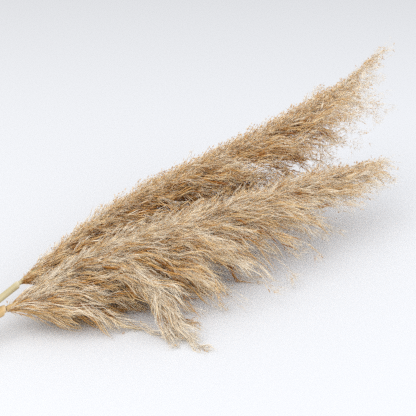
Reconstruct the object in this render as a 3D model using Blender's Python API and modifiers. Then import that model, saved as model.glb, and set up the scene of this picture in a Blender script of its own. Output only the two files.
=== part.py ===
"""Bunch of reeds: two dried plume reeds that lie side by side.

Metres, +Z up. The reeds lie on the plane z = 0 and the origin is under the middle of the bunch.
+X runs along the bunch, from the cut ends of the stems to the tips of the plumes. The front reed
is on the -Y side. Each reed is a stem, the leaf sheath round its top and the plume that it carries.
"""
import math
import random

import bmesh
import bpy
from mathutils import Vector

# The whole bunch is placed so that the middle of its box stands on the origin.
BUNCH_SHIFT = Vector((0.0227, 0.0223, 0.0))

# Clearance between pieces that touch, and the distance within which a tube's own points are one.
GAP = 0.0004
WELD_DISTANCE = 0.00002

# Each reed's axis is read from a smooth curve, and the rachis keeps every fifth point of it.
CURVE_STEPS = 20
AXIS_POINTS = 601
RACHIS_STRIDE = 5

# Every plume is described by how its locks change from the mouth of the sheath (first value) to
# the tip (last value), as shares of the largest value on that side of the plume. Both plumes'
# locks thin out alike; their lengths, launch angles and sag are each reed's own.
THICKNESS_ALONG = (0.55, 0.92, 1.00, 1.00, 0.85, 0.58, 0.30)

# A lock is a spindle: thin where it grows out, full past its middle, fine at the tip.
SPINDLE = ((0.0, 0.22), (0.28, 0.72), (0.56, 1.00), (0.82, 0.62), (1.0, 0.07))
LOCK_SIDES_RESOLUTION = 1
LOCK_STEPS = 12

# It leaves the rachis at a share of its launch angle, opens to the whole of it, and then sags.
LAUNCH_START = 0.35
LAUNCH_REACHED = 0.45
SAG_POWER = 1.3

# Near the floor it levels out within this height, and it lies pressed to a share of its radius.
SETTLING_HEIGHT = 0.012
FLOOR_PRESS = 0.40

# Locks grow along nearly the whole rachis, and no two are alike.
FIRST_LOCK = 0.012
LOCKED_SHARE = 0.975
PLACE_SPREAD = (0.3, 0.7)
LENGTH_SPREAD = (0.88, 1.08)
LAUNCH_SPREAD = (0.75, 1.12)
RACHIS_RINGS = 13
RACHIS_TAPER = 0.75
RACHIS_SIDES_RESOLUTION = 1

# The culm ends a little below the mouth of the sheath, where the rachis of the plume goes on.
RACHIS_FOOT = 0.006
STEM_RINGS = 9
NODE_HALF_WIDTH = 0.0025
NODE_SWELL = 1.12
STEM_SIDES_RESOLUTION = 2

# The sheath narrows close to its mouth, and a bulge lies a small share of its length below that.
SHEATH_RINGS = 10
SHEATH_WALL = 0.0008
SHEATH_NARROWING = 6
BULGE_SHARE = 0.09

# The plane that parts the two plumes where they lie against each other, and how many of its own
# radii a lock keeps from it.
PARTING_NORMAL = Vector((-0.035, 0.95, 0.30)).normalized()
PARTING_POINT = Vector((0.0, 0.0362, 0.0)) + BUNCH_SHIFT
PARTING_RADII = 1.05

# Edges sharper than this many degrees stay sharp in the shading.
SHARP_ANGLE = 40

FRONT = {
    "name": "front",
    "side": -1,
    "seed": 27,
    "locks": 39,
    "crowding": 1.30,
    "turns": ((110, 150), (75, 115), (150, 200), (255, 300), (100, 135), (-20, 35), (60, 95),
              (205, 250), (100, 145), (300, 330)),
    "tresses": ((0.06, 98, 1.38, 0.98, 1.0), (0.12, 94, 1.22, 1.10, 1.5),
                (0.155, 86, 1.34, 1.12, 1.7)),
    "stem_axis": ((-0.561, 0.042, 0.0044), (-0.410, 0.020, 0.0200)),
    "rachis": ((-0.263, 0.002, 0.035), (-0.185, 0.010, 0.056), (-0.100, 0.003, 0.070),
               (0.035, -0.014, 0.085), (0.152, -0.020, 0.090), (0.283, -0.026, 0.091),
               (0.362, -0.025, 0.090)),
    "stem_radius": 0.0046,
    "top_radius": 0.0036,
    "nodes": (0.42,),
    "sheath_start": 0.44,
    "sheath_radius": 0.0062,
    "sheath_bulge": 0.0009,
    "mouth_radius": 0.0053,
    "rachis_radius": 0.0032,
    "straw": (0.62, 0.43, 0.19),
    "dry_leaf": (0.66, 0.46, 0.21),
    "lock_radius": 0.0118,
    "length_along": (0.86, 1.00, 0.92, 0.82, 0.74, 0.46, 0.22),
    "launch_along": (0.78, 1.06, 0.94, 0.74, 0.56, 0.36, 0.12),
    "sag_along": (1.00, 0.90, 0.80, 0.60, 0.42, 0.30, 0.10),
    "near": {"length": 0.205, "launch": 64, "sag": 0.90},
    "far": {"length": 0.150, "launch": 42, "sag": 1.20},
    "top": {"length": 0.095, "launch": 14, "sag": 0.30},
    "under": {"length": 0.180, "launch": 44, "sag": 1.00},
}

BACK = {
    "name": "back",
    "side": 1,
    "seed": 37,
    "locks": 42,
    "crowding": 1.22,
    "turns": ((60, 105), (270, 305), (155, 205), (85, 140), (245, 290), (-25, 30), (100, 150),
              (195, 240), (65, 115), (165, 200)),
    "tresses": (),
    "stem_axis": ((-0.522, -0.083, 0.0035), (-0.380, -0.030, 0.0270)),
    "rachis": ((-0.238, 0.018, 0.054), (-0.195, 0.029, 0.066), (-0.132, 0.050, 0.080),
               (-0.011, 0.066, 0.107), (0.161, 0.062, 0.142), (0.361, 0.080, 0.184),
               (0.476, 0.106, 0.216)),
    "stem_radius": 0.0036,
    "top_radius": 0.0026,
    "nodes": (0.38,),
    "sheath_start": 0.40,
    "sheath_radius": 0.0042,
    "sheath_bulge": 0.0,
    "mouth_radius": 0.0040,
    "rachis_radius": 0.0024,
    "straw": (0.52, 0.46, 0.27),
    "dry_leaf": (0.55, 0.48, 0.28),
    "lock_radius": 0.0118,
    "length_along": (0.44, 1.00, 1.00, 0.94, 0.80, 0.40, 0.32),
    "launch_along": (0.80, 1.00, 0.95, 0.92, 0.76, 0.36, 0.12),
    "sag_along": (1.00, 0.90, 0.80, 0.60, 0.34, 0.14, 0.05),
    "near": {"length": 0.230, "launch": 46, "sag": 0.95},
    "far": {"length": 0.185, "launch": 34, "sag": 1.70},
    "top": {"length": 0.095, "launch": 12, "sag": 0.30},
    "under": {"length": 0.220, "launch": 46, "sag": 1.50},
}


def clear_scene():
    for obj in list(bpy.data.objects):
        bpy.data.objects.remove(obj, do_unlink=True)


def make_collection(name):
    collection = bpy.data.collections.new(name)
    bpy.context.scene.collection.children.link(collection)
    return collection


def make_material(name, colour, roughness):
    material = bpy.data.materials.new(name)
    material.use_nodes = True
    shader = material.node_tree.nodes["Principled BSDF"]
    shader.inputs["Base Color"].default_value = (*colour, 1.0)
    shader.inputs["Roughness"].default_value = roughness
    shader.inputs["Metallic"].default_value = 0.0
    return material


def value_along(values, share):
    """Straight-line reading of evenly spaced values at a share from 0 to 1."""
    place = share * (len(values) - 1)
    index = min(int(place), len(values) - 2)
    return values[index] + (values[index + 1] - values[index]) * (place - index)


def smooth_curve(points, count):
    """Evenly spaced points on a smooth curve through the given points."""
    ends = [2 * points[0] - points[1], *points, 2 * points[-1] - points[-2]]
    fine = []
    for index in range(len(points) - 1):
        before, start, end, after = ends[index:index + 4]
        for step in range(CURVE_STEPS):
            t = step / CURVE_STEPS
            fine.append(0.5 * (2 * start + (end - before) * t
                               + (2 * before - 5 * start + 4 * end - after) * t ** 2
                               + (3 * start - before - 3 * end + after) * t ** 3))
    fine.append(points[-1].copy())
    reach = [0.0]
    for index in range(1, len(fine)):
        reach.append(reach[-1] + (fine[index] - fine[index - 1]).length)
    even = []
    index = 0
    for number in range(count):
        wanted = reach[-1] * number / (count - 1)
        while index < len(fine) - 2 and reach[index + 1] < wanted:
            index += 1
        share = (wanted - reach[index]) / (reach[index + 1] - reach[index])
        even.append(fine[index].lerp(fine[index + 1], share))
    return even


def tube_object(name, strands, sides_resolution, collection):
    """One mesh with a capped tube for each strand, a list of (point, radius)."""
    curve = bpy.data.curves.new(name, "CURVE")
    curve.dimensions = "3D"
    curve.bevel_depth = 1.0
    curve.bevel_resolution = sides_resolution
    curve.use_fill_caps = True
    for strand in strands:
        spline = curve.splines.new("POLY")
        spline.points.add(len(strand) - 1)
        for point, (place, radius) in zip(spline.points, strand):
            point.co = (*place, 1.0)
            point.radius = radius
    guide = bpy.data.objects.new(name + "_curve", curve)
    collection.objects.link(guide)
    depsgraph = bpy.context.evaluated_depsgraph_get()
    mesh = bpy.data.meshes.new_from_object(guide.evaluated_get(depsgraph))
    mesh.name = name
    bpy.data.objects.remove(guide, do_unlink=True)
    weld(mesh)
    tube = bpy.data.objects.new(name, mesh)
    collection.objects.link(tube)
    return tube


def weld(mesh):
    """Closes the tube ends and makes every face a triangle, so that a Boolean keeps them flat."""
    shape = bmesh.new()
    shape.from_mesh(mesh)
    bmesh.ops.remove_doubles(shape, verts=shape.verts, dist=WELD_DISTANCE)
    bmesh.ops.triangulate(shape, faces=shape.faces)
    bmesh.ops.recalc_face_normals(shape, faces=shape.faces)
    shape.to_mesh(mesh)
    shape.free()


def apply_boolean(target, cutter, operation, use_self=False):
    """Joins or cuts target with cutter, which is removed."""
    modifier = target.modifiers.new(operation.lower(), "BOOLEAN")
    modifier.operation = operation
    modifier.solver = "EXACT"
    modifier.use_self = use_self
    modifier.object = cutter
    depsgraph = bpy.context.evaluated_depsgraph_get()
    mesh = bpy.data.meshes.new_from_object(target.evaluated_get(depsgraph))
    target.modifiers.clear()
    target.data = mesh
    bpy.data.objects.remove(cutter, do_unlink=True)


def cut_at_floor(obj):
    """Flattens what would reach below z = 0, and keeps the largest body."""
    shape = bmesh.new()
    shape.from_mesh(obj.data)
    everything = [*shape.verts, *shape.edges, *shape.faces]
    cut = bmesh.ops.bisect_plane(shape, geom=everything, plane_co=(0, 0, 0), plane_no=(0, 0, 1),
                                 clear_inner=True, dist=0.00001)
    rim = [item for item in cut["geom_cut"] if isinstance(item, bmesh.types.BMEdge)]
    bmesh.ops.holes_fill(shape, edges=rim, sides=0)
    bmesh.ops.triangulate(shape, faces=shape.faces)
    islands = find_islands(shape)
    islands.sort(key=len)
    for island in islands[:-1]:
        bmesh.ops.delete(shape, geom=island, context="VERTS")
    bmesh.ops.recalc_face_normals(shape, faces=shape.faces)
    shape.to_mesh(obj.data)
    shape.free()


def find_islands(shape):
    left = set(shape.verts)
    islands = []
    while left:
        front = [left.pop()]
        island = list(front)
        while front:
            vertex = front.pop()
            for edge in vertex.link_edges:
                other = edge.other_vert(vertex)
                if other in left:
                    left.remove(other)
                    island.append(other)
                    front.append(other)
        islands.append(island)
    return islands


def placed(points):
    return [Vector(point) + BUNCH_SHIFT for point in points]


def side_weights(azimuth):
    """How much a lock belongs to each side. Azimuth 0 points up and 90 to the camera side."""
    across = math.sin(azimuth)
    upward = math.cos(azimuth)
    return {
        "near": max(0.0, across) ** 2,
        "far": max(0.0, -across) ** 2,
        "top": max(0.0, upward) ** 2,
        "under": max(0.0, -upward) ** 2,
    }


def blended(reed, key, weights):
    return sum(weight * reed[side][key] for side, weight in weights.items())


def lock_strand(reed, rachis, share, azimuth, length_scale, launch_scale, sag_scale=1.0):
    """Centre line and radii of one lock that leaves the rachis at the given share of its length."""
    index = min(int(share * (len(rachis) - 1)), len(rachis) - 2)
    tangent = (rachis[index + 1] - rachis[index]).normalized()
    across = tangent.cross(Vector((0, 0, 1))).normalized()
    upward = across.cross(tangent)
    outward = math.cos(azimuth) * upward + math.sin(azimuth) * across
    weights = side_weights(azimuth)
    length = blended(reed, "length", weights) * value_along(reed["length_along"], share) * length_scale
    launch = math.radians(blended(reed, "launch", weights)) * value_along(reed["launch_along"], share)
    launch *= launch_scale
    sag = blended(reed, "sag", weights) * value_along(reed["sag_along"], share) * sag_scale
    fullest = reed["lock_radius"] * value_along(THICKNESS_ALONG, share)

    place = rachis[index].lerp(rachis[index + 1], share * (len(rachis) - 1) - index)
    route = [place.copy()]
    for step in range(LOCK_STEPS):
        run = (step + 0.5) / LOCK_STEPS
        angle = launch * (LAUNCH_START + (1 - LAUNCH_START) * min(1.0, run / LAUNCH_REACHED))
        heading = math.cos(angle) * tangent + math.sin(angle) * outward
        heading.z -= sag * run ** SAG_POWER
        heading.normalize()
        radius = fullest * spindle_share((step + 1) / LOCK_STEPS)
        rest_height = radius * FLOOR_PRESS
        heading.z = max(heading.z, -(place.z - rest_height) / SETTLING_HEIGHT)
        place = place + heading * (length / LOCK_STEPS)
        place.z = max(place.z, rest_height)
        beyond = (place - PARTING_POINT).dot(PARTING_NORMAL) * reed["side"]
        margin = radius * PARTING_RADII + GAP
        if beyond < margin:
            place += PARTING_NORMAL * reed["side"] * (margin - beyond)
        route.append(place.copy())
    strand = []
    for run, thickness in SPINDLE:
        at = run * LOCK_STEPS
        before = min(int(at), LOCK_STEPS - 1)
        strand.append((route[before].lerp(route[before + 1], at - before), fullest * thickness))
    return strand


def spindle_share(run):
    for (start, low), (end, high) in zip(SPINDLE, SPINDLE[1:]):
        if run <= end:
            return low + (high - low) * (run - start) / (end - start)
    return SPINDLE[-1][1]


def lock_azimuths(reed, dice):
    """One azimuth for each lock, from the reed's ranges of degrees taken in turn."""
    turns = reed["turns"]
    return [math.radians(dice.uniform(*turns[number % len(turns)])) for number in range(reed["locks"])]


def build_plume(reed, collection, material):
    dice = random.Random(reed["seed"])
    stem, rachis = reed_axis(reed)
    axis = [(stem_place(stem, -RACHIS_FOOT + GAP / 2), reed["rachis_radius"])]
    for number in range(RACHIS_RINGS):
        share = number / (RACHIS_RINGS - 1)
        place = rachis[round(share * (len(rachis) - 1))]
        axis.append((place, reed["rachis_radius"] * (1 - RACHIS_TAPER * share)))
    plume = tube_object(reed["name"] + "_plume", [axis], RACHIS_SIDES_RESOLUTION, collection)
    strands = []
    azimuths = lock_azimuths(reed, dice)
    for number, azimuth in enumerate(azimuths):
        turn = (number + dice.uniform(*PLACE_SPREAD)) / reed["locks"]
        share = FIRST_LOCK + LOCKED_SHARE * turn ** reed["crowding"]
        strands.append(lock_strand(reed, rachis, share, azimuth, dice.uniform(*LENGTH_SPREAD),
                                   dice.uniform(*LAUNCH_SPREAD)))
    for share, degrees, length_scale, launch_scale, sag_scale in reed["tresses"]:
        strands.append(lock_strand(reed, rachis, share, math.radians(degrees), length_scale,
                                   launch_scale, sag_scale))
    locks = tube_object(reed["name"] + "_locks", strands, LOCK_SIDES_RESOLUTION, collection)
    apply_boolean(plume, locks, "UNION", use_self=True)
    cut_at_floor(plume)
    finish(plume, material)


def build_stem(reed, collection, material):
    """The culm, from its cut end to just inside the mouth of the sheath, with its node rings."""
    stem, _ = reed_axis(reed)
    length = stem[-1][1]
    top = length - RACHIS_FOOT - GAP / 2
    stations = [top * number / STEM_RINGS for number in range(STEM_RINGS + 1)]
    for node in reed["nodes"]:
        stations += [top * node - NODE_HALF_WIDTH, top * node, top * node + NODE_HALF_WIDTH]
    strand = []
    for station in sorted(stations):
        radius = reed["stem_radius"] + (reed["top_radius"] - reed["stem_radius"]) * station / top
        if min(abs(station - top * node) for node in reed["nodes"]) < NODE_HALF_WIDTH / 2:
            radius *= NODE_SWELL
        strand.append((stem_place(stem, station - length), radius))
    culm = tube_object(reed["name"] + "_stem", [strand], STEM_SIDES_RESOLUTION, collection)
    cut_at_floor(culm)
    finish(culm, material)


def build_sheath(reed, collection, material):
    """The dry base of the top leaf: a tube round the culm, open at its mouth below the plume."""
    stem, _ = reed_axis(reed)
    length = stem[-1][1]
    start = length * reed["sheath_start"]
    strand = []
    for number in range(SHEATH_RINGS + 1):
        share = number / SHEATH_RINGS
        radius = reed["sheath_radius"]
        radius += (reed["mouth_radius"] - radius) * share ** SHEATH_NARROWING
        radius += reed["sheath_bulge"] * math.exp(-((1 - share) / BULGE_SHARE - 1) ** 2)
        strand.append((stem_place(stem, (start - length) * (1 - share)), radius - SHEATH_WALL))
    inner = tube_object(reed["name"] + "_leaf_sheath", [strand], STEM_SIDES_RESOLUTION, collection)
    shape = bmesh.new()
    shape.from_mesh(inner.data)
    ends = [face for face in shape.faces if abs(face.normal.dot(end_direction(strand))) > 0.9]
    bmesh.ops.delete(shape, geom=ends, context="FACES")
    shape.to_mesh(inner.data)
    shape.free()
    wall = inner.modifiers.new("wall", "SOLIDIFY")
    wall.thickness = SHEATH_WALL
    wall.offset = 1.0
    wall.use_even_offset = True
    finish(inner, material)


def end_direction(strand):
    return (strand[-1][0] - strand[-2][0]).normalized()


def reed_axis(reed):
    """The stem as (point, distance from the cut end) and the rachis as evenly spaced points."""
    points = placed(reed["stem_axis"] + reed["rachis"])
    line = smooth_curve(points, AXIS_POINTS)
    mouth = points[len(reed["stem_axis"])]
    at_mouth = min(range(len(line)), key=lambda index: (line[index] - mouth).length)
    step = (line[1] - line[0]).length
    stem = [(line[index], index * step) for index in range(at_mouth + 1)]
    return stem, line[at_mouth::RACHIS_STRIDE]


def stem_place(stem, back_from_mouth):
    """The point on the stem's axis at a distance, 0 or less, from the mouth."""
    step = stem[1][1]
    at = max(0.0, stem[-1][1] + back_from_mouth) / step
    index = min(int(at), len(stem) - 2)
    return stem[index][0].lerp(stem[index + 1][0], at - index)


def finish(obj, material):
    obj.data.materials.clear()
    obj.data.materials.append(material)
    obj.data.shade_smooth()
    obj.data.set_sharp_from_angle(angle=math.radians(SHARP_ANGLE))


def build():
    clear_scene()
    bunch = make_collection("bunch_of_reeds")
    plume_material = make_material("dry_plume", (0.60, 0.43, 0.26), 0.8)
    for reed in (FRONT, BACK):
        stem_material = make_material(reed["name"] + "_straw", reed["straw"], 0.55)
        sheath_material = make_material(reed["name"] + "_dry_leaf", reed["dry_leaf"], 0.6)
        build_stem(reed, bunch, stem_material)
        build_sheath(reed, bunch, sheath_material)
        build_plume(reed, bunch, plume_material)


build()
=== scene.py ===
import math

import bpy
import numpy as np
from mathutils import Matrix, Vector


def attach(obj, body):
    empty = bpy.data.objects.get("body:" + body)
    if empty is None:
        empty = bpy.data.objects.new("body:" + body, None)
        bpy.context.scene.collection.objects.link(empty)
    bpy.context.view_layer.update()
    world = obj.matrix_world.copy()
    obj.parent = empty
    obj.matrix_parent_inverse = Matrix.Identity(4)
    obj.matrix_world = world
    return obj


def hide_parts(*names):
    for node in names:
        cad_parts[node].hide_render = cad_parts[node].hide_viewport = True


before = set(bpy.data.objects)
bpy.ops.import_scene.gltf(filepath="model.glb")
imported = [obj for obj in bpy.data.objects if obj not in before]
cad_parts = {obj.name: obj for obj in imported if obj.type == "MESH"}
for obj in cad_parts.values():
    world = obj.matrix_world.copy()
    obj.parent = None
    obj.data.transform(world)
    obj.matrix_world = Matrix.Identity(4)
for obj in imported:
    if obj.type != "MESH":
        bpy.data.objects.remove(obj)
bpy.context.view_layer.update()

scene = bpy.context.scene
scene.view_settings.view_transform = "Standard"
scene.cycles.use_denoising = False      # it would smear the finest hair
scene.cycles.diffuse_bounces = 8        # light wanders far between pale hairs

# the camera stands where the photograph was taken from
view = {
    "place": (-0.5369, -0.7741, 0.5873),
    "turn": -37.0,          # degrees round Z
    "lookDown": 26.57,
    "roll": 1.23,
    "lens": 69.23,
    "sensor": 36.0,
    "nearest": 0.05,
    "furthest": 50.0,
}


def setCamera():
    lens = bpy.data.cameras.new("camera")
    lens.lens = view["lens"]
    lens.sensor_width = view["sensor"]
    lens.clip_start = view["nearest"]
    lens.clip_end = view["furthest"]
    camera = bpy.data.objects.new("camera", lens)
    scene.collection.objects.link(camera)
    camera.matrix_world = (Matrix.Translation(view["place"])
                           @ Matrix.Rotation(math.radians(view["turn"]), 4, "Z")
                           @ Matrix.Rotation(math.radians(90 - view["lookDown"]), 4, "X")
                           @ Matrix.Rotation(math.radians(view["roll"]), 4, "Z"))
    scene.camera = camera


# a socket that takes part in sums, and one method for every other node
class Wire:
    def __init__(self, tree, socket=None):
        self.tree = tree
        self.socket = socket

    def node(self, kind, settings=None, values=None, out=0):
        made = self.tree.nodes.new("ShaderNode" + kind)
        for key, value in (settings or {}).items():
            if key == "stops":
                setStops(made.color_ramp, value)
            else:
                setattr(made, key, value)
        for key, value in (values or {}).items():
            if isinstance(value, Wire):
                self.tree.links.new(value.socket, made.inputs[key])
            else:
                made.inputs[key].default_value = value
        return Wire(self.tree, made.outputs[out])

    def calc(self, operation, *terms):
        return self.node("Math", {"operation": operation}, dict(enumerate(terms)))

    def __add__(self, other):
        return self.calc("ADD", self, other)

    def __sub__(self, other):
        return self.calc("SUBTRACT", self, other)

    def __mul__(self, other):
        return self.calc("MULTIPLY", self, other)

    def __radd__(self, other):
        return self.calc("ADD", other, self)

    def __rsub__(self, other):
        return self.calc("SUBTRACT", other, self)

    def __rmul__(self, other):
        return self.calc("MULTIPLY", other, self)

    def ease(self, low, high):      # 0 below low, 1 above high
        return self.node("MapRange", {"interpolation_type": "SMOOTHSTEP"},
                         {"Value": self, "From Min": low, "From Max": high})

    def band(self, middle, half):   # 1 at the middle, fading to 0 within half
        return 1 - self.calc("ABSOLUTE", self - middle).ease(0, half)

    def blend(self, first, second):     # a colour between two, by this mask
        return self.node("Mix", {"data_type": "RGBA"}, {0: self, 6: first, 7: second}, out=2)

    def ramp(self, stops):
        return self.node("ValToRGB", {"stops": stops}, {"Fac": self})


def setStops(ramp, stops):
    while len(ramp.elements) < len(stops):
        ramp.elements.new(0.5)
    for element, (place, colour) in zip(ramp.elements, stops):
        element.position = place
        element.color = (*colour, 1.0)


def newLook(name, roughness, specular=0.3):
    material = bpy.data.materials.new(name)
    material.use_nodes = True
    shader = material.node_tree.nodes["Principled BSDF"]
    shader.inputs["Roughness"].default_value = roughness
    shader.inputs["Specular IOR Level"].default_value = specular
    return material, shader, Wire(material.node_tree)


def feed(wire, shader, key):
    wire.tree.links.new(wire.socket, shader.inputs[key])


def overlay(body, pattern, limits, colour):
    # a colour laid over the body where the pattern rises from the low to the high limit
    low, high, strength = limits
    return (pattern.ease(low, high) * strength).blend(body, colour)


# Both reeds share this. Its laws are those of the solids, so that the hair fills the same form. Lengths
# are in metres, and values named ...Along are spread evenly from a plume's mouth to its tip.
bunch = {
    "shift": np.array((0.0227, 0.0223, 0.0)),
    "curveSteps": 20,
    "axisPoints": 601,
    "rachisStride": 5,      # points of the axis to one point of the line inside the plume
    "stemShort": 0.001,     # a stem ends this far below the mouth
    "spacing": (0.1, 0.9),  # a branch leaves anywhere in this part of its even share of the line
    "thickAlong": (0.55, 0.92, 1.00, 1.00, 0.85, 0.58, 0.30),
    "leastHair": 0.35,      # hair that a branch has beyond what its thickness gives it
    "launchReached": 0.45,  # the part of its length over which a branch opens to its launch angle
    "sagPower": 1.3,
    "settling": 0.012,      # a falling branch levels out over this height
    "restHeight": 0.004,
    "steps": 12,
    "beyond": 2,            # steps past the end of a branch, for the strands that outrun it
    "partingNormal": (-0.035, 0.95, 0.30),
    "partingPoint": (0.0227, 0.0585, 0.0),
    "partingSoft": 0.006,
    "floorSoft": 0.005,
    "wobble": 0.0045,       # how far a branch wanders from its even line, and over what length
    "wobbleLength": (0.045, 0.09),
    "aboveFloor": 0.00005,  # the lowest that any mesh goes
}

frontReed = {
    "name": "front",
    "side": -1,             # of the plane between the plumes
    "seed": 411,
    "stem": ((-0.561, 0.042, 0.0044), (-0.410, 0.020, 0.0200)),
    "rachis": ((-0.263, 0.002, 0.035), (-0.185, 0.010, 0.056), (-0.100, 0.003, 0.070),
               (0.035, -0.014, 0.085), (0.152, -0.020, 0.090), (0.283, -0.026, 0.091),
               (0.362, -0.025, 0.090)),
    # Each set has shares of its branches with the degrees that they turn to: 0 is up, 90 the camera side.
    # More crowding gathers them near the mouth, and open is how much of its launch a root starts with.
    "limbs": {"count": 360, "from": 0.0, "to": 0.985, "crowding": 1.45, "open": 0.35,
              "sides": ((0.41, 85, 150), (0.22, 50, 85), (0.06, -30, 50), (0.14, 150, 225),
                        (0.17, 225, 330)),
              "length": (0.55, 1.02), "launch": (0.30, 1.10), "sag": (0.70, 1.10)},
    "crest": {"count": 900, "from": 0.0, "to": 0.97, "crowding": 1.1, "open": 0.9,
              "sides": ((1.0, -65, 60),),
              "length": (0.30, 0.66), "launch": (0.5, 2.0), "sag": (0.0, 0.4)},
    "foot": {"count": 120, "from": 0.0, "to": 0.06, "crowding": 2.4, "open": 1.0,
             "sides": ((0.7, 75, 165), (0.3, 165, 420)),
             "length": (0.40, 0.90), "launch": (0.30, 1.05), "sag": (0.3, 1.0)},
    # place along the plume, degrees, and factors on length, launch and sag
    "tresses": ((0.01, 100, 1.15, 0.95, 0.8), (0.145, 88, 1.16, 1.12, 1.7), (0.155, 86, 1.17, 1.12, 1.7),
                (0.18, 78, 1.04, 1.10, 2.3), (0.20, 86, 0.96, 1.25, 2.3), (0.21, 80, 0.98, 1.40, 2.3)),
    # branches by the side that they leave on, with launch in degrees
    "near": {"length": 0.205, "launch": 64, "sag": 0.90},
    "far": {"length": 0.150, "launch": 42, "sag": 1.20},
    "top": {"length": 0.095, "launch": 14, "sag": 0.30},
    "under": {"length": 0.180, "launch": 44, "sag": 1.00},
    "lengthAlong": (0.86, 0.99, 0.90, 0.79, 0.76, 0.54, 0.22),
    "launchAlong": (0.70, 1.06, 0.94, 0.74, 0.58, 0.44, 0.14),
    "sagAlong": (1.00, 0.90, 0.80, 0.60, 0.42, 0.30, 0.10),
    # tones run from 0, brown, to 1, cream; the last three are how much they scatter
    "tone": 0.65,
    "toneAlong": (0.05, 0.03, 0.01, 0.0, -0.05, -0.04, 0.05),
    # tones by side are painted light and shade: branches on top are paler, those underneath darker
    "sideLightAndShade": {"near": 0.0, "far": -0.05, "top": 0.25, "under": -0.09},
    "branchTone": 0.07,
    "tuftTone": 0.24,
    "strandTone": 0.10,
    "tufts": {"inner": 1500, "long": 2020, "short": 1280, "crest": 1500, "foot": 330, "down": 5700},
    "fullness": (1.0, 0.95, 0.95, 1.05, 1.3, 1.5, 1.0),     # along the plume
    "reachScale": 0.95,
    "grains": 4500,
    "cane": {"radius": 0.0046, "topRadius": 0.0036, "node": 0.420, "rachisRadius": 0.0032},
    "sheath": {"from": 0.44, "radius": 0.0062, "bulge": 0.0009, "mouthRadius": 0.0055, "flare": 0.0002,
               "oblique": 0.007, "turn": 215},
    "straw": {"pale": (0.74, 0.55, 0.28), "dark": (0.50, 0.32, 0.12), "blush": (0.58, 0.34, 0.12, 1)},
    "dryLeaf": {"pale": (0.72, 0.52, 0.26), "dark": (0.52, 0.34, 0.14), "blush": (0.60, 0.36, 0.13, 1)},
}

backReed = {
    "name": "back",
    "side": 1,
    "seed": 523,
    "stem": ((-0.522, -0.083, 0.0035), (-0.380, -0.030, 0.0270)),
    "rachis": ((-0.238, 0.018, 0.054), (-0.195, 0.029, 0.066), (-0.132, 0.050, 0.080),
               (-0.011, 0.066, 0.107), (0.161, 0.062, 0.142), (0.361, 0.080, 0.184),
               (0.476, 0.106, 0.216)),
    "limbs": {"count": 420, "from": 0.0, "to": 0.985, "crowding": 1.10, "open": 0.35,
              "sides": ((0.32, 65, 115), (0.33, 115, 165), (0.04, -20, 30), (0.18, 165, 220),
                        (0.13, 220, 290)),
              "length": (0.60, 0.99), "launch": (0.40, 1.04), "sag": (0.55, 1.05)},
    "crest": {"count": 480, "from": 0.0, "to": 0.97, "crowding": 1.1, "open": 0.8,
              "sides": ((1.0, -50, 60),),
              "length": (0.25, 0.42), "launch": (0.5, 1.2), "sag": (0.2, 0.6)},
    "foot": {"count": 100, "from": 0.0, "to": 0.05, "crowding": 2.4, "open": 1.0,
             "sides": ((0.6, 60, 170), (0.4, 170, 240)),
             "length": (0.35, 0.95), "launch": (0.25, 0.85), "sag": (0.5, 1.2)},
    "tresses": (),
    "near": {"length": 0.230, "launch": 46, "sag": 0.95},
    "far": {"length": 0.185, "launch": 34, "sag": 1.70},
    "top": {"length": 0.095, "launch": 12, "sag": 0.30},
    "under": {"length": 0.220, "launch": 46, "sag": 1.50},
    "lengthAlong": (0.48, 1.00, 1.00, 1.02, 0.88, 0.42, 0.34),
    "launchAlong": (0.84, 1.04, 0.95, 0.94, 0.76, 0.34, 0.12),
    "sagAlong": (1.00, 0.90, 0.80, 0.62, 0.34, 0.10, 0.03),
    "tone": 0.61,
    "toneAlong": (0.0, 0.02, -0.02, -0.05, 0.07, 0.23, 0.30),
    # painted light and shade by side again: top branches paler, those underneath much darker
    "sideLightAndShade": {"near": -0.03, "far": 0.10, "top": 0.20, "under": -0.22},
    "branchTone": 0.05,
    "tuftTone": 0.20,
    "strandTone": 0.10,
    "tufts": {"inner": 1950, "long": 1430, "short": 1650, "crest": 1300, "foot": 240, "down": 6200},
    "fullness": (1.0, 1.0, 1.0, 1.0, 1.0, 0.95, 0.9),
    "reachScale": 0.56,
    "grains": 6500,
    "cane": {"radius": 0.0036, "topRadius": 0.0026, "node": 0.380, "rachisRadius": 0.0024},
    "sheath": {"from": 0.40, "radius": 0.0042, "bulge": 0.0, "mouthRadius": 0.0041, "flare": 0.0003,
               "oblique": 0.004, "turn": 205},
    "straw": {"pale": (0.64, 0.57, 0.36), "dark": (0.42, 0.36, 0.18), "blush": (0.48, 0.36, 0.16, 1)},
    "dryLeaf": {"pale": (0.62, 0.55, 0.36), "dark": (0.44, 0.38, 0.21), "blush": (0.52, 0.41, 0.20, 1)},
}


# arrays: unit vectors and smooth lines
def unit(vectors):
    return vectors / np.maximum(np.linalg.norm(vectors, axis=-1, keepdims=True), 1e-9)


def along(values, share):
    return np.interp(share, np.linspace(0, 1, len(values)), values)


def lineReach(line):
    return np.r_[0, np.cumsum(np.linalg.norm(np.diff(line, axis=0), axis=1))]


def evenLine(points, count):
    # evenly spaced places on a smooth curve through the points
    knots = np.array(points) + bunch["shift"]
    ends = np.vstack([2 * knots[0] - knots[1], knots, 2 * knots[-1] - knots[-2]])
    t = np.linspace(0, 1, bunch["curveSteps"], endpoint=False)[:, None]
    runs = []
    for i in range(len(knots) - 1):
        before, start, end, after = ends[i:i + 4]
        runs.append(0.5 * (2 * start + (end - before) * t
                           + (2 * before - 5 * start + 4 * end - after) * t ** 2
                           + (3 * start - before - 3 * end + after) * t ** 3))
    fine = np.vstack(runs + [knots[-1:]])
    reach = lineReach(fine)
    even = np.linspace(0, reach[-1], count)
    return np.stack([np.interp(even, reach, fine[:, axis]) for axis in range(3)], axis=1)


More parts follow.
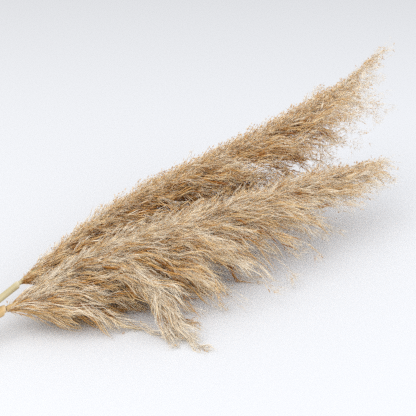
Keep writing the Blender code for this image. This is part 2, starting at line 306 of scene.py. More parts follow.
def readAxis(reed):
    # the reed's line, and the places along it that its pieces start and end at
    line = evenLine(reed["stem"] + reed["rachis"], bunch["axisPoints"])
    mouth = np.array(reed["rachis"][0]) + bunch["shift"]
    atMouth = int(np.argmin(np.linalg.norm(line - mouth, axis=1)))
    reed["line"] = line
    reed["mouthAt"] = lineReach(line)[atMouth]
    reed["stemLength"] = reed["mouthAt"] - bunch["stemShort"]
    reed["nodeAt"] = reed["stemLength"] * reed["cane"]["node"]
    reed["rachisLine"] = line[atMouth::bunch["rachisStride"]]
    reed["plumeLength"] = lineReach(reed["rachisLine"])[-1]


# where hair may lie
def laySoftly(height, soft):
    # heights under the soft layer are pressed together above zero
    return np.where(height < soft, soft * np.exp((height - soft) / soft), height)


def keepClear(reed, places):
    # hair lies on the floor and on its own side of the plane between the plumes
    normal = unit(np.array(bunch["partingNormal"]))
    beyond = ((places - np.array(bunch["partingPoint"])) @ normal) * reed["side"]
    moved = laySoftly(beyond, bunch["partingSoft"]) - beyond
    places = places + moved[..., None] * normal * reed["side"]
    places[..., 2] = laySoftly(places[..., 2], bunch["floorSoft"])
    return places


# branches of a plume, as lines
def sideWeights(azimuth):
    across, upward = np.sin(azimuth), np.cos(azimuth)
    return {"near": np.maximum(0, across) ** 2, "far": np.maximum(0, -across) ** 2,
            "top": np.maximum(0, upward) ** 2, "under": np.maximum(0, -upward) ** 2}


def branchRoots(rachis, share, azimuth):
    # where branches leave the rachis, its direction there, and the way that they open
    at = share * (len(rachis) - 1)
    index = np.minimum(at.astype(int), len(rachis) - 2)
    piece = rachis[index + 1] - rachis[index]
    tangent = unit(piece)
    across = unit(np.cross(tangent, (0.0, 0.0, 1.0)))
    upward = np.cross(across, tangent)
    outward = np.cos(azimuth)[:, None] * upward + np.sin(azimuth)[:, None] * across
    return rachis[index] + piece * (at - index)[:, None], tangent, outward


def layBranches(reed, opening, place, tangent, outward, length, launch, sag):
    # step by step: they open to their launch, sag more and more, and level out near the floor
    route = [place]
    for step in range(bunch["steps"] + bunch["beyond"]):
        run = (step + 0.5) / bunch["steps"]
        opened = opening + (1 - opening) * min(1.0, run / bunch["launchReached"])
        angle = (launch * opened)[:, None]
        heading = np.cos(angle) * tangent + np.sin(angle) * outward
        heading[:, 2] -= sag * run ** bunch["sagPower"]
        heading = unit(heading)
        lowest = -(place[:, 2] - bunch["restHeight"]) / bunch["settling"]
        heading[:, 2] = np.maximum(heading[:, 2], lowest)
        place = keepClear(reed, place + heading * (length / bunch["steps"])[:, None])
        route.append(place)
    return np.stack(route, axis=1)


def wander(route, ways, length, dice):
    # slow waves in both ways, growing from a branch's root
    travelled = length[:, None] * np.arange(route.shape[1]) / bunch["steps"]
    grows = np.minimum(travelled / bunch["wobbleLength"][1], 1)
    each = (len(route), 1)
    for way in ways:
        waveLength = dice.uniform(*bunch["wobbleLength"], each)
        phase = dice.uniform(0, 1, each)
        waves = np.sin(2 * np.pi * (travelled / waveLength + phase))
        route = route + way * (bunch["wobble"] * waves * grows)[..., None]
    return route


def routeBranches(reed, dice, opening, share, azimuth, lengthScale, launchScale, sagScale):
    place, tangent, outward = branchRoots(reed["rachisLine"], share, azimuth)
    weights = sideWeights(azimuth)

    def blended(key):
        return sum(weights[side] * reed[side][key] for side in weights)

    length = blended("length") * along(reed["lengthAlong"], share) * lengthScale
    launch = np.radians(blended("launch")) * along(reed["launchAlong"], share) * launchScale
    sag = blended("sag") * along(reed["sagAlong"], share) * sagScale
    route = layBranches(reed, opening, place, tangent, outward, length, launch, sag)
    forward = unit(np.gradient(route, axis=1))
    aside = unit(outward[:, None] - (outward[:, None] * forward).sum(-1, keepdims=True) * forward)
    third = np.cross(forward, aside)
    route = wander(route, (aside, third), length, dice)
    tone = reed["tone"] + along(reed["toneAlong"], share) + dice.normal(0, reed["branchTone"], len(share))
    # paler or darker by the side a branch leaves on: painted light on top, painted shade underneath
    tone += sum(weights[side] * reed["sideLightAndShade"][side] for side in weights)
    thick = along(bunch["thickAlong"], share)
    odds = length * (bunch["leastHair"] + thick) * along(reed["fullness"], share)
    return {"route": route, "aside": aside, "third": third, "length": length, "share": share,
            "tone": tone, "thick": thick, "odds": odds}


tress = {"tone": 0.40, "fullness": 1.8}     # the long loose tresses are the palest and fullest


def growBranches(reed, dice, kind):
    count = kind["count"]
    spaced = (np.arange(count) + dice.uniform(*bunch["spacing"], count)) / count
    share = kind["from"] + (kind["to"] - kind["from"]) * spaced ** kind["crowding"]
    odds, lows, highs = np.array(kind["sides"]).T
    side = dice.choice(len(odds), count, p=odds)
    azimuth = np.radians(dice.uniform(lows[side], highs[side]))
    scales = np.stack([dice.uniform(*kind[key], count) for key in ("length", "launch", "sag")])
    if kind is reed["limbs"]:
        for place, degrees, *scale in reed["tresses"]:
            share = np.r_[share, place]
            azimuth = np.r_[azimuth, math.radians(degrees)]
            scales = np.c_[scales, scale]
    grown = routeBranches(reed, dice, kind["open"], share, azimuth, *scales)
    grown["tone"][count:] += tress["tone"]
    grown["odds"][count:] *= tress["fullness"]
    return grown


def readRoute(values, branch, run):
    # values of each strand's branch at its runs, from 0 at the rachis to 1 at the branch's end
    justBeforeLast = values.shape[1] - 1.001
    at = np.clip(run * bunch["steps"], 0, justBeforeLast)
    index = at.astype(int)
    part = (at - index)[..., None]
    which = branch[:, None]
    return values[which, index] * (1 - part) + values[which, index + 1] * part


# Strands of hair, in tufts that leave a branch together and share its wave and tone. The values of where
# share the tufts out along the plume, start is along a branch, and shape is a strand's taper.
strandKinds = {
    # the dark tone of the inner strands is painted shade for the depth of the plume
    "inner": {
        "strands": 2, "rings": 3, "where": (1.0, 1.0, 1.0, 0.95, 0.5, 0.06, 0.0),
        "start": (0.0, 0.66), "startJitter": 0.05, "reach": (0.030, 0.070), "spread": (0.0, 0.005),
        "turnJitter": 0.5, "rootOffset": (0.0, 0.006), "bowPower": 1.0, "wave": (0.0, 0.0010),
        "waveLength": (0.02, 0.04), "drift": 0.003, "stray": 0.001, "droop": 0.0, "sink": 0.010,
        "clump": 0.0, "thinning": 0.35,
        "shape": (0.6, 1.0, 0.8, 0.0), "radius": (0.0006, 0.0010), "tone": -0.30,
    },
    "long": {
        "strands": 4, "rings": 3, "where": (1.0, 1.0, 1.0, 0.95, 0.7, 0.22, 0.03),
        "start": (0.0, 0.87), "startJitter": 0.04, "reach": (0.022, 0.046), "spread": (0.0015, 0.0055),
        "turnJitter": 0.45, "rootOffset": (0.0, 0.007), "bowPower": 1.1, "wave": (0.0005, 0.0018),
        "waveLength": (0.018, 0.034), "drift": 0.0048, "stray": 0.0016, "droop": 0.003, "sink": 0.0,
        "clump": 0.4, "thinning": 0.30,
        "shape": (0.8, 1.0, 0.7, 0.0), "radius": (0.00024, 0.00046), "tone": 0.0,
    },
    "short": {
        "strands": 5, "rings": 3, "where": (0.9, 1.0, 1.1, 1.0, 0.95, 0.57, 0.25),
        "start": (0.05, 1.0), "startJitter": 0.04, "reach": (0.016, 0.036), "spread": (0.001, 0.007),
        "turnJitter": 0.50, "rootOffset": (0.0, 0.007), "bowPower": 1.1, "wave": (0.0003, 0.0011),
        "waveLength": (0.015, 0.028), "drift": 0.0030, "stray": 0.0014, "droop": 0.002, "sink": 0.0,
        "clump": 0.35, "thinning": 0.20,
        "shape": (0.8, 1.0, 0.6, 0.0), "radius": (0.00022, 0.00042), "tone": 0.06,
    },
    "down": {
        "strands": 3, "rings": 1, "where": (0.5, 0.7, 0.8, 0.9, 1.2, 1.1, 0.55),
        "start": (0.10, 1.08), "startJitter": 0.05, "reach": (0.008, 0.020), "spread": (0.001, 0.008),
        "turnJitter": 0.9, "rootOffset": (0.0, 0.008), "bowPower": 1.0, "wave": (0.0, 0.0004),
        "waveLength": (0.015, 0.028), "drift": 0.0025, "stray": 0.0016, "droop": 0.001, "sink": 0.0,
        "clump": 0.0, "thinning": 0.0,
        "shape": (1.0, 0.0), "radius": (0.00016, 0.00032), "tone": 0.12,
    },
}
strandKinds["crest"] = {**strandKinds["short"], "strands": 4, "rings": 2, "start": (0.0, 0.9),
                        "reach": (0.012, 0.028), "spread": (0.001, 0.005), "drift": 0.0016,
                        "tone": 0.08, "droop": 0.0, "stray": 0.0012, "clump": 0.0, "thinning": 0.0,
                        "radius": (0.00018, 0.00036)}
strandKinds["foot"] = {**strandKinds["short"], "start": (0.0, 0.6), "rootOffset": (0.002, 0.008),
                       "reach": (0.020, 0.050), "tone": 0.04}

tufting = {
    # the pale tufts are partly paler hair and partly painted sheen on the silky strands
    "paleAndSheenLift": 0.26,       # how much paler some tufts are, and how many of them
    "paleShare": 0.22,
    "endLift": 0.45,        # how much paler the branches' ends are at the tip of a plume
    "looseFrom": 0.035,     # nearer to the mouth than this the hair keeps close to the cane
    "closest": 0.5,         # the least part of its offset that it keeps there
    "leastSpread": 0.4,     # the part of a tuft's spread that is the same all along the plume
    "reachScatter": (0.7, 1.15),
    "spreadScatter": (0.6, 1.25),
    "clumpScatter": (0, 1.3),
    "phaseScatter": 0.25,
    "rootWave": 0.3,        # the wave is this at a strand's root and rises by 1 to its tip
    "tones": (0.02, 0.98),
}


def growTufts(reed, grown, dice, label):
    kind = strandKinds[label]
    count = reed["tufts"][label]
    odds = grown["odds"] * along(kind["where"], grown["share"])
    branch = dice.choice(len(odds), count, p=odds / odds.sum())
    share, thick = grown["share"][branch], grown["thick"][branch]
    start = dice.uniform(*kind["start"], count) * (1 - kind["thinning"] * share)
    turn = dice.uniform(0, 2 * np.pi, count)
    tone = dice.normal(0, reed["tuftTone"], count) + tufting["endLift"] * start * share
    # some tufts are lifted paler: partly paler hair, partly painted sheen
    if label != "inner":
        tone += tufting["paleAndSheenLift"] * (dice.uniform(0, 1, count) < tufting["paleShare"])
    tufts = {"branch": branch, "start": start, "turn": turn, "tone": tone}
    tufts["phase"] = dice.uniform(0, 2 * np.pi, count)
    for key in ("wave", "waveLength", "rootOffset", "reach", "spread"):
        tufts[key] = dice.uniform(*kind[key], count)
    fromMouth = start * grown["length"][branch] + share * reed["plumeLength"]
    loose = np.clip(fromMouth / tufting["looseFrom"], tufting["closest"], 1)
    tufts["rootOffset"] *= loose
    tufts["sink"] = kind["sink"] * (loose ** 2 * thick)
    tufts["reach"] *= reed["reachScale"]
    tufts["spread"] *= tufting["leastSpread"] + (1 - tufting["leastSpread"]) * thick
    return tufts


def growStrands(reed, grown, dice, label):
    kind = strandKinds[label]
    tufts = growTufts(reed, grown, dice, label)
    number = reed["tufts"][label]
    tuft = np.repeat(np.arange(number), kind["strands"])    # the tuft that each strand is in
    count = len(tuft)
    own = {key: values[tuft] for key, values in tufts.items()}
    branch = own["branch"]
    length = grown["length"][branch]
    start = np.clip(own["start"] + dice.normal(0, kind["startJitter"], count), 0, 1)
    turn = own["turn"] + dice.normal(0, kind["turnJitter"], count)
    reach = own["reach"] * dice.uniform(*tufting["reachScatter"], count) / length
    spread = own["spread"] * dice.uniform(*tufting["spreadScatter"], count)
    tau = np.linspace(0, 1, kind["rings"] + 1)[None, :]     # 0 at a strand's root, 1 at its tip
    run = np.minimum(start[:, None] + reach[:, None] * tau, 1 + bunch["beyond"] / bunch["steps"])
    place = readRoute(grown["route"], branch, run)
    aside = readRoute(grown["aside"], branch, run)
    third = readRoute(grown["third"], branch, run)
    turnCos, turnSin = np.cos(turn)[:, None, None], np.sin(turn)[:, None, None]
    outwards = turnCos * aside + turnSin * third
    sideways = turnCos * third - turnSin * aside
    clump = dice.uniform(*tufting["clumpScatter"], number)[tuft] * kind["clump"]
    gathers = 1 - clump[:, None] * tau ** 2     # the tips of most tufts come together again
    bow = (own["rootOffset"][:, None] + spread[:, None] * tau ** kind["bowPower"] * gathers)[..., None]
    phase = (own["phase"] + dice.normal(0, tufting["phaseScatter"], count))[:, None]
    waveTurns = (length * 2 * np.pi / own["waveLength"])[:, None]
    waves = own["wave"][:, None] * np.sin(run * waveTurns + phase) * (tufting["rootWave"] + tau)
    drift = dice.normal(0, kind["drift"], (number, 1, 3))[tuft] * tau[..., None]
    stray = dice.normal(0, kind["stray"], (count, 1, 3)) * tau[..., None] ** 2
    place = place + outwards * bow + sideways * waves[..., None] + drift + stray
    droop = kind["droop"] * (tau ** 2) * dice.uniform(0, 1, (count, 1))
    place[..., 2] -= own["sink"][:, None] + droop
    taper = along(kind["shape"], tau[:, :-1])
    thick = dice.uniform(*kind["radius"], count)[:, None] * taper
    tone = grown["tone"][branch] + own["tone"] + dice.normal(0, reed["strandTone"], count)
    tone += kind["tone"]
    return {"place": keepClear(reed, place), "thick": thick, "tone": np.clip(tone, *tufting["tones"]),
            "share": grown["share"][branch]}


# on the map, tone runs across and the way from root to tip runs up
hairMap = {
    "halfWidth": 0.006,
    "margin": 0.01,
    "capHeight": 0.03,      # the closing face at a root needs some height of its own
}


def tubeForm(strands, dice):
    # closed tapering tubes, each with three sides and a point
    place, thick = strands["place"], strands["thick"]
    count, points = place.shape[:2]
    rings, sides = points - 1, 3
    forward = unit(np.gradient(place, axis=1))
    first = unit(np.cross(forward, unit(dice.normal(0, 1, (count, 1, 3)))))
    second = np.cross(forward, first)
    corners = []
    for side in range(sides):
        angle = side * 2 * np.pi / sides
        corner = np.cos(angle) * first[:, :rings] + np.sin(angle) * second[:, :rings]
        corners.append(place[:, :rings] + corner * thick[..., None])
    tube = np.stack(corners, axis=2).reshape(count, rings * sides, 3)
    places = np.concatenate([tube, place[:, -1:]], axis=1)
    # a face's corner is (number, -1 to 1 across the map, 0 to 1 up it)
    quads, triangles = [], []
    for ring in range(rings - 1):
        low, high = ring / rings, (ring + 1) / rings
        for side in range(sides):
            a, b = ring * sides + side, ring * sides + (side + 1) % sides
            quads.append(((a, -1, low), (b, 1, low), (b + sides, 1, high), (a + sides, -1, high)))
    last, low, tip = (rings - 1) * sides, (rings - 1) / rings, rings * sides
    for side in range(sides):
        triangles.append(((last + side, -1, low), (last + (side + 1) % sides, 1, low), (tip, 0, 1)))
    triangles.append(((2, -1, 0), (1, 1, 0), (0, 0, hairMap["capHeight"])))
    return places, strands["tone"], [faces for faces in (quads, triangles) if faces]


def joinForms(name, forms):
    # one mesh of many alike forms; each form gives its corners, its tones and its sets of faces
    places, corners, maps, starts = [], [], [], []
    usedPlaces = usedLoops = 0
    for formPlaces, tone, faceSets in forms:
        count, size = formPlaces.shape[:2]
        shift = (usedPlaces + np.arange(count) * size)[:, None, None]
        for faces in faceSets:
            faces = np.array(faces, dtype=float)
            corners.append((faces[None, ..., 0].astype(int) + shift).reshape(-1))
            across = tone[:, None, None] + faces[None, ..., 1] * hairMap["halfWidth"]
            up = faces[None, ..., 2] * (1 - 2 * hairMap["margin"]) + hairMap["margin"]
            maps.append(np.stack([across, np.broadcast_to(up, across.shape)], axis=-1).reshape(-1, 2))
            number = count * len(faces)
            starts.append(usedLoops + np.arange(number) * faces.shape[1])
            usedLoops += number * faces.shape[1]
        places.append(formPlaces.reshape(-1, 3))
        usedPlaces += count * size
    places, corners = np.concatenate(places), np.concatenate(corners)
    maps, starts = np.concatenate(maps), np.concatenate(starts)
    places[:, 2] = np.maximum(places[:, 2], bunch["aboveFloor"])
    mesh = bpy.data.meshes.new(name)
    mesh.vertices.add(len(places))
    mesh.vertices.foreach_set("co", places.astype(np.float32).ravel())
    mesh.loops.add(len(corners))
    mesh.loops.foreach_set("vertex_index", corners.astype(np.int32))
    mesh.polygons.add(len(starts))
    mesh.polygons.foreach_set("loop_start", starts.astype(np.int32))
    mesh.polygons.foreach_set("use_smooth", np.ones(len(starts), bool))
    mesh.update(calc_edges=True)
    bakeMap = mesh.uv_layers.new(name="OFBake")
    bakeMap.data.foreach_set("uv", maps.astype(np.float32).ravel())
    piece = bpy.data.objects.new(name, mesh)
    scene.collection.objects.link(piece)
    return piece


def settle(piece, look, slot, *nodes):
    piece.data.materials.clear()
    piece.data.materials.append(look)
    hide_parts(*nodes)
    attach(piece, "root")
    piece.data.calc_loop_triangles()
    print(piece.name, len(piece.data.loop_triangles), "triangles")


def readMap(wire):
    # the tone, and the height from root to tip
    spot = wire.node("UVMap", {"uv_map": "OFBake"})
    tone = wire.node("SeparateXYZ", None, {0: spot})
    return tone, Wire(wire.tree, tone.socket.node.outputs[1])


# The hair's colours: painted shade, a brown, in the depth of a tuft, gold along it, cream at its tip.
# Limits here and below are where a layer starts, where it is full, and its strength.
hairShades = {
    "tones": ((0.0, (0.34, 0.120, 0.020)), (0.25, (0.56, 0.270, 0.066)), (0.5, (0.79, 0.503, 0.205)),
              (0.75, (0.92, 0.740, 0.460)), (1.0, (0.97, 0.895, 0.760))),
    # painted shade: this brown darkens the first part of every strand, deep in its tuft
    "root": (0.45, 0.190, 0.034, 1),
    "rootShadeEnds": 0.40,
    "rootShadeStrength": 0.50,
    "palest": (0.85, 1.0, 0.30),    # the palest strands lose this much of it
    "tip": (0.95, 0.835, 0.655, 1),
    "tipLimits": (0.55, 1.0, 0.40),
    "roughness": 0.6,
    "specular": 0.03,
}


def makeHairLook():
    material, shader, wire = newLook("silky_hair", hairShades["roughness"], hairShades["specular"])
    tone, height = readMap(wire)
    # painted shade at the root of every strand, where it lies deep in its tuft; the palest strands keep
    # more of their own colour there
    low, high, lost = hairShades["palest"]
    strength = hairShades["rootShadeStrength"] - tone.ease(low, high) * lost
    root = (1 - height.ease(0.0, hairShades["rootShadeEnds"])) * strength
    body = root.blend(tone.ramp(hairShades["tones"]), hairShades["root"])
    body = overlay(body, height, hairShades["tipLimits"], hairShades["tip"])
    feed(body, shader, "Base Color")
    return material


grain = {
    "length": (0.0028, 0.0050),
    "width": (0.0010, 0.0018),
    "fullest": 0.38,        # where along the husk, and where that lies on the map
    "fullestUp": 0.4,
    "leastOdds": 0.04,      # for hair at the mouth; at the tip of the plume it is 1 more
    "scatter": 0.35,
    "fromTip": (0, 0.8),    # share of a strand's last part
    "tones": (0.03, 0.97),
    "husk": ((0.0, (0.46, 0.23, 0.080)), (0.4, (0.65, 0.38, 0.150)), (0.8, (0.79, 0.54, 0.260)),
             (1.0, (0.88, 0.70, 0.460))),
    "point": (0.80, 0.66, 0.45, 1),
    "pointLimits": (0.6, 1.0, 0.6),
    "roughness": 0.5,
}


def makeGrainLook():
    material, shader, wire = newLook("grain_husk", grain["roughness"])
    tone, height = readMap(wire)
    body = overlay(tone.ramp(grain["husk"]), height, grain["pointLimits"], grain["point"])
    feed(body, shader, "Base Color")
    return material


def grainForm(place, direction, length, width, tone, dice):
    # a pointed husk of eight faces, fullest below its middle
    side = unit(np.cross(direction, unit(dice.normal(0, 1, place.shape))))
    third = np.cross(direction, side)
    full = place + direction * (length * grain["fullest"])[:, None]
    around = [full + way * (width / 2)[:, None] for way in (side, third, -side, -third)]
    tip = place + direction * length[:, None]
    places = np.stack([place, *around, tip], axis=1)
    up = grain["fullestUp"]
    triangles = []
    for corner in range(4):
        a, b = 1 + corner, 1 + (corner + 1) % 4
        triangles.append(((0, 0, 0), (b, 1, up), (a, -1, up)))
        triangles.append(((a, -1, up), (b, 1, up), (5, 0, 1)))
    return places, tone, (triangles,)


def scatterGrains(reed, hair, dice):
    # near the tips of the short hair, most of them towards the tip of the plume
    bearers = (hair["short"], hair["crest"])
    parts = np.concatenate([strands["place"][:, -2:] for strands in bearers])
    share = np.concatenate([strands["share"] for strands in bearers])
    odds = grain["leastOdds"] + share ** 2
    count = reed["grains"]
    chosen = dice.choice(len(parts), count, replace=False, p=odds / odds.sum())
    before, end = parts[chosen, 0], parts[chosen, 1]
    direction = unit(unit(end - before) + dice.normal(0, grain["scatter"], (count, 3)))
    place = end - (end - before) * dice.uniform(*grain["fromTip"], (count, 1))
    length = dice.uniform(*grain["length"], count)
    width = dice.uniform(*grain["width"], count)
    tone = dice.uniform(*grain["tones"], count)
    return grainForm(place, direction, length, width, tone, dice)


# the kinds of strands in each piece of hair
hairPieces = {
    "inner_hair": ("inner",),
    "long_hair": ("long",),
    "short_hair": ("short",),
    "fringe": ("crest", "foot"),
    "down": ("down",),
}


def makePlume(reed, hairLook, grainLook):
    dice = np.random.default_rng(reed["seed"])
    limbs, crest, foot = [growBranches(reed, dice, reed[kind]) for kind in ("limbs", "crest", "foot")]
    grown = {"inner": limbs, "long": limbs, "short": limbs, "crest": crest, "foot": foot, "down": limbs}
    hair = {label: growStrands(reed, grown[label], dice, label) for label in grown}
    node = reed["name"] + "_plume"
    for name, labels in hairPieces.items():
        piece = joinForms(node + "_" + name, [tubeForm(hair[label], dice) for label in labels])
        settle(piece, hairLook, "dry_plume", node)
    piece = joinForms(node + "_grains", [scatterGrains(reed, hair, dice)])
    settle(piece, grainLook, "dry_plume", node)


# canes: a straight tube raised ring by ring, then bent along the reed's own line
caneForm = {
    "sides": 24,
    "ringStep": 0.006,
    "nodeRings": ((-0.0030, 1.00), (-0.0016, 1.05), (-0.0005, 1.13), (0.0002, 1.10),
                  (0.0006, 1.01), (0.0012, 1.04), (0.0030, 1.00)),  # place from the node, and swell
    "nodeRoom": 0.005,      # the even rings keep this clear of the node
    "chamfer": 0.0002,
    "chamferLength": 0.0008,
    "endFacing": -0.9,      # the cut end's face points this way along X, and lies this near to 0
    "endWithin": 0.0001,
    "endWall": 0.30,        # share of the radius round the pith
    "pithDepth": 0.0007,
    "stalkRings": 70,
    "stalkTaper": 0.85,
    "sharpEdge": 40,        # degrees
}


def selectFaces(piece, wanted):
    bpy.ops.mesh.select_all(action="DESELECT")
    bpy.ops.object.mode_set(mode="OBJECT")
    for face in piece.data.polygons:
        face.select = wanted(face)
    bpy.ops.object.mode_set(mode="EDIT")


def isCutEnd(face):
    return face.normal.x < caneForm["endFacing"] and face.center.x < caneForm["endWithin"]


def raiseCane(name, rings):
    # rings are (place along, radius), the first of them at the foot
    bpy.ops.object.select_all(action="DESELECT")
    at, radius = rings[0]
    bpy.ops.mesh.primitive_circle_add(vertices=caneForm["sides"], radius=radius, fill_type="NGON",
                                      location=(at, 0, 0), rotation=(0, math.pi / 2, 0))
    cane = bpy.context.object
    cane.name = name
    bpy.ops.object.transform_apply(location=True, rotation=True, scale=True)
    bpy.ops.object.mode_set(mode="EDIT")
    bpy.ops.mesh.select_mode(type="FACE")
    bpy.ops.mesh.select_all(action="SELECT")
    for nextAt, nextRadius in rings[1:]:
        bpy.ops.mesh.extrude_region_move(TRANSFORM_OT_translate={"value": (nextAt - at, 0, 0)})
        grows = nextRadius / radius
        bpy.ops.transform.resize(value=(1, grows, grows), center_override=(nextAt, 0, 0))
        at, radius = nextAt, nextRadius
    bpy.ops.mesh.select_all(action="SELECT")
    bpy.ops.mesh.normals_make_consistent(inside=False)
    return cane


def bendAlong(piece, line):
    # the straight form is remembered for the material, and X then follows the line
    straight = piece.data.attributes.new("straight", "FLOAT_VECTOR", "POINT")
    places = np.empty(len(piece.data.vertices) * 3, np.float32)
    piece.data.vertices.foreach_get("co", places)
    straight.data.foreach_set("vector", places)
    guideCurve = bpy.data.curves.new("guide", "CURVE")
    guideCurve.dimensions = "3D"
    guideCurve.twist_mode = "Z_UP"
    spline = guideCurve.splines.new("POLY")
    spline.points.add(len(line) - 1)
    spline.points.foreach_set("co", np.c_[line, np.ones(len(line))].ravel())
    guide = bpy.data.objects.new("guide", guideCurve)
    scene.collection.objects.link(guide)
    bpy.ops.object.select_all(action="DESELECT")
    piece.select_set(True)
    bpy.context.view_layer.objects.active = piece
    bend = piece.modifiers.new("bend", "CURVE")
    bend.object = guide
    bend.deform_axis = "POS_X"
    bpy.ops.object.modifier_apply(modifier=bend.name)
    bpy.data.objects.remove(guide)
    piece.data.vertices.foreach_get("co", places)
    places[2::3] = np.maximum(places[2::3], bunch["aboveFloor"])
    piece.data.vertices.foreach_set("co", places)
    bpy.ops.object.shade_smooth_by_angle(angle=math.radians(caneForm["sharpEdge"]))


def stemRings(reed):
    # even rings that leave room for the node's own, after a chamfered edge
    cane, length, node = reed["cane"], reed["stemLength"], reed["nodeAt"]
    step = caneForm["ringStep"]
    even = [caneForm["chamferLength"], *np.arange(step, length, step), length]
    rings = [(at, 1.0) for at in even if abs(at - node) > caneForm["nodeRoom"]]
    rings += [(node + shift, swell) for shift, swell in caneForm["nodeRings"]]
    rings = [(0.0, 1 - caneForm["chamfer"] / cane["radius"])] + sorted(rings)
    return [(at, swell * (cane["radius"] + (cane["topRadius"] - cane["radius"]) * at / length))
            for at, swell in rings]


def makeStem(reed, look):
    piece = raiseCane(reed["name"] + "_stem_cane", stemRings(reed))
    selectFaces(piece, isCutEnd)
    bpy.ops.mesh.inset(thickness=reed["cane"]["radius"] * caneForm["endWall"])
    bpy.ops.transform.translate(value=(caneForm["pithDepth"], 0, 0))
    bpy.ops.object.mode_set(mode="OBJECT")
    bendAlong(piece, reed["line"])
    settle(piece, look, reed["name"] + "_straw", reed["name"] + "_stem")


def makeRachis(reed, look):
    # the cane goes on through the plume as a fine stalk
    length, radius = reed["plumeLength"], reed["cane"]["rachisRadius"]
    rings = [(at, radius * (1 - caneForm["stalkTaper"] * at / length))
             for at in np.linspace(0.0, length, caneForm["stalkRings"])]
    piece = raiseCane(reed["name"] + "_plume_stalk", rings)
    bpy.ops.object.mode_set(mode="OBJECT")
    bendAlong(piece, reed["rachisLine"])
    settle(piece, look, reed["name"] + "_straw", reed["name"] + "_plume")


# leaf sheaths: a thin leaf rolled round the cane past its own edge, flared at an oblique mouth
leaf = {
    "lengthRows": 70,
    "aroundRows": 40,
    "wall": 0.00035,
    "lift": 0.00045,        # how far the outer edge lies over the inner one
    "snug": 1.06,           # radius at the foot, in radii of the cane
    "footLength": 0.006,
    "footPower": 0.6,
    "narrowPower": 6,       # high powers keep the narrowing and the slant near the mouth
    "slantPower": 3,
    "bulgeWidth": 0.09,     # share of the leaf's length
    "flareLength": 0.010,
    "ragged": 0.0008,
    "raggedWaves": (17, 41),
}


def rolledRadius(reed, run, length, around):
    sheath = reed["sheath"]
    radius = sheath["radius"] + (sheath["mouthRadius"] - sheath["radius"]) * run ** leaf["narrowPower"]
    radius = radius + sheath["bulge"] * np.exp(-((1 - run) / leaf["bulgeWidth"] - 1) ** 2)
    fromFoot, fromMouth = run * length, (1 - run) * length
    radius = radius + sheath["flare"] * np.exp(-(fromMouth / leaf["flareLength"] * 2) ** 2)
    snug = reed["cane"]["radius"] * leaf["snug"]
    free = np.clip(fromFoot / leaf["footLength"], 0, 1) ** leaf["footPower"]
    return snug + (radius - leaf["wall"] - snug) * free + leaf["lift"] * (around + 1) / 2


def makeSheath(reed, look):
    sheath = reed["sheath"]
    low = reed["mouthAt"] * sheath["from"]
    length = reed["mouthAt"] - low
    bpy.ops.object.select_all(action="DESELECT")
    bpy.ops.mesh.primitive_grid_add(x_subdivisions=leaf["lengthRows"], y_subdivisions=leaf["aroundRows"],
                                    size=1, location=(0, 0, 0))
    piece = bpy.context.object
    piece.name = reed["name"] + "_rolled_leaf"
    places = np.empty(len(piece.data.vertices) * 3, np.float32)
    piece.data.vertices.foreach_get("co", places)
    places = places.reshape(-1, 3)
    run, around = places[:, 0] + 0.5, places[:, 1] * 2      # 0 to 1 along the leaf, -1 to 1 round it
    turn = np.radians(around * sheath["turn"])
    coarse, fine = leaf["raggedWaves"]
    edge = sheath["oblique"] * (np.cos(turn) - 1) / 2
    edge = edge + leaf["ragged"] * np.sin(around * coarse) * np.sin(around * fine + 1)
    radius = rolledRadius(reed, run, length, around)
    places[:, 0] = low + run * (length + edge * run ** leaf["slantPower"])
    places[:, 1] = radius * np.sin(turn)
    places[:, 2] = radius * np.cos(turn)
    piece.data.vertices.foreach_set("co", places.ravel())
    bpy.ops.object.mode_set(mode="EDIT")
    bpy.ops.mesh.select_all(action="SELECT")
    bpy.ops.mesh.normals_make_consistent(inside=False)
    bpy.ops.object.mode_set(mode="OBJECT")
    thicken = piece.modifiers.new("thicken", "SOLIDIFY")
    thicken.thickness = leaf["wall"]
    thicken.offset = 0
    bpy.ops.object.modifier_apply(modifier=thicken.name)
    bendAlong(piece, reed["line"])
    settle(piece, look, reed["name"] + "_dry_leaf", reed["name"] + "_leaf_sheath")


# straw: fine lengthwise fibres, blushed patches, small brown flecks, a dark line at the node and a pale
# one at a leaf's mouth
straw = {
    "fibres": {"scale": (14, 1900, 1900), "detail": 3.0},
    "patches": {"scale": (22, 90, 90), "detail": 2.0},
    "flecks": {"scale": (160, 520, 520), "detail": 2.0},
    "fibreShare": 0.7,
    "patchShare": 0.3,
    "darkBelow": 0.36,
    "paleAbove": 0.62,
    "blushLimits": (0.52, 0.72, 0.55),
    "fleckLimits": (0.68, 0.74, 0.8),
    "fleckColour": (0.26, 0.13, 0.045, 1),
    "ringAbove": 0.0006,    # from the node to the middle of its dark ring
    "ringHalf": 0.0022,
    "ringStrength": 0.8,
    "ringColour": (0.34, 0.20, 0.08, 1),
    "mouthHalf": 0.007,
    "mouthStrength": 0.5,
    "mouthWhite": 0.3,      # mixed into the pale straw
    "pithEnds": (0.0004, 0.0008),
    "pithColour": (0.86, 0.78, 0.58, 1),
    "roughness": 0.42,
    "smoother": 0.1,        # what the roughness loses all over, and what the fibres add to it
    "fibreRoughness": 0.25,
    "specular": 0.4,
    "bump": 0.35,
    "bumpDistance": 0.0003,
}


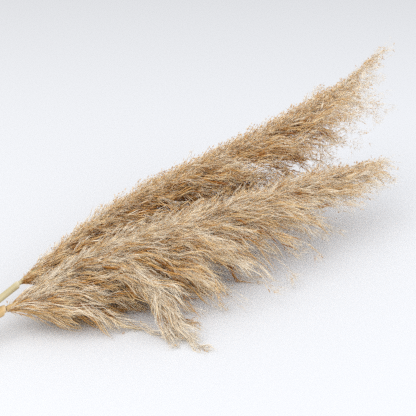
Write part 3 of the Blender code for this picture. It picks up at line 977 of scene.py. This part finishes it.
def makeStrawLook(name, shades, dark=None, pale=None):
    # dark and pale are (place, half width) of a dark band and a pale band along the cane
    material, shader, wire = newLook(name, straw["roughness"], straw["specular"])
    spot = wire.node("Attribute", {"attribute_name": "straight"}, out="Vector")

    def noise(grainy):
        scaled = wire.node("VectorMath", {"operation": "MULTIPLY"}, {0: spot, 1: grainy["scale"]})
        return wire.node("TexNoise", None, {"Vector": scaled, "Scale": 1.0, "Detail": grainy["detail"]})

    fibres = noise(straw["fibres"])
    patches = noise(straw["patches"])
    flecks = noise(straw["flecks"])
    pattern = fibres * straw["fibreShare"] + patches * straw["patchShare"]
    body = pattern.ramp(((straw["darkBelow"], shades["dark"]), (straw["paleAbove"], shades["pale"])))
    body = overlay(body, patches, straw["blushLimits"], shades["blush"])
    place = wire.node("SeparateXYZ", None, {0: spot})
    if dark:
        body = (place.band(*dark) * straw["ringStrength"]).blend(body, straw["ringColour"])
    if pale:
        white = straw["mouthWhite"]
        mouthColour = white + (1 - white) * np.array(shades["pale"])
        body = (place.band(*pale) * straw["mouthStrength"]).blend(body, (*mouthColour, 1))
    body = overlay(body, flecks, straw["fleckLimits"], straw["fleckColour"])
    if dark:
        pith = 1 - place.ease(*straw["pithEnds"])
        body = pith.blend(body, straw["pithColour"])
    feed(body, shader, "Base Color")
    roughness = fibres * straw["fibreRoughness"] + (straw["roughness"] - straw["smoother"])
    feed(roughness, shader, "Roughness")
    raised = wire.node("Bump", None, {"Height": fibres, "Strength": straw["bump"],
                                      "Distance": straw["bumpDistance"]})
    feed(raised, shader, "Normal")
    return material


def dressReed(reed):
    name = reed["name"]
    ring = (reed["nodeAt"] + straw["ringAbove"], straw["ringHalf"])
    mouth = (reed["mouthAt"], straw["mouthHalf"])
    makeStem(reed, makeStrawLook(name + "_stem_straw", reed["straw"], dark=ring))
    makeSheath(reed, makeStrawLook(name + "_dry_leaf_fibre", reed["dryLeaf"], pale=mouth))
    makeRachis(reed, makeStrawLook(name + "_stalk_straw", reed["straw"]))


# floor, light and world
stage = {
    "floorSize": 16.0,
    "floorColour": (0.70, 0.732, 0.79),
    "floorRoughness": 0.75,
    "worldColour": (1.0, 0.97, 0.93),
    "worldStrength": 0.84,
    "lamps": (
        {"name": "window", "place": (-1.5, 0.1, 2.1), "size": 2.4, "power": 35,
         "colour": (1.0, 0.975, 0.94)},
        {"name": "fill", "place": (1.5, -1.6, 1.4), "size": 2.6, "power": 28,
         "colour": (0.95, 0.97, 1.0)},
    ),
}


def setFloor():
    bpy.ops.object.select_all(action="DESELECT")
    bpy.ops.mesh.primitive_plane_add(size=stage["floorSize"], location=(0, 0, 0))
    floor = bpy.context.object
    floor.name = "floor"
    material, shader = newLook("pale_floor", stage["floorRoughness"])[:2]
    shader.inputs["Base Color"].default_value = (*stage["floorColour"], 1)
    floor.data.materials.append(material)


def setLight():
    world = bpy.data.worlds.new("studio")
    world.use_nodes = True
    back = world.node_tree.nodes["Background"]
    back.inputs["Color"].default_value = (*stage["worldColour"], 1)
    back.inputs["Strength"].default_value = stage["worldStrength"]
    scene.world = world
    for lamp in stage["lamps"]:
        light = bpy.data.lights.new(lamp["name"], "AREA")
        light.size = lamp["size"]
        light.energy = lamp["power"]
        light.color = lamp["colour"]
        holder = bpy.data.objects.new(lamp["name"], light)
        holder.location = lamp["place"]
        holder.rotation_euler = (-Vector(lamp["place"])).to_track_quat("-Z", "Y").to_euler()
        scene.collection.objects.link(holder)


print("setting the camera, the floor and the light")
setCamera()
setFloor()
setLight()
print("mixing the colours of the hair and the grains")
hairLook = makeHairLook()
grainLook = makeGrainLook()
for reed in (frontReed, backReed):
    readAxis(reed)
    print("dressing the", reed["name"], "reed")
    dressReed(reed)
    print("growing the", reed["name"], "plume")
    makePlume(reed, hairLook, grainLook)
